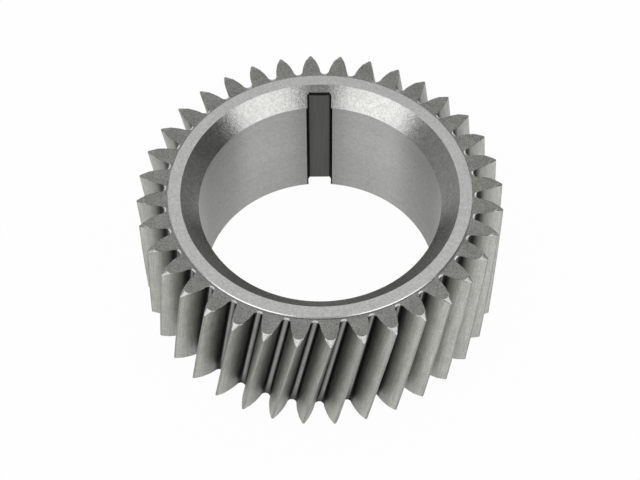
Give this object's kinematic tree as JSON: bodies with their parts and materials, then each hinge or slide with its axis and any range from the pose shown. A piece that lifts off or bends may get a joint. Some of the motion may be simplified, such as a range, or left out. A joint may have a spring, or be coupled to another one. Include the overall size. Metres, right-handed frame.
{
  "type": "timing gear",
  "caption": "Ring-shaped crankshaft timing gear with slender right-hand helical teeth, a wide bore with a countersink on one end, and a keyway along the bore.",
  "frame": {"origin": "centre of the bore at the underside", "axes": "+Z along the bore, from the plain end to the countersunk end; +Y from the axis to the keyway"},
  "size_m": [0.1188, 0.1188, 0.0483],
  "materials": {
    "gear_steel": "machined: turned bore and countersink, ground seat, hobbed teeth"
  },
  "bodies": {
    "root": {"timing_gear": "gear_steel"}
  },
  "joints": []
}
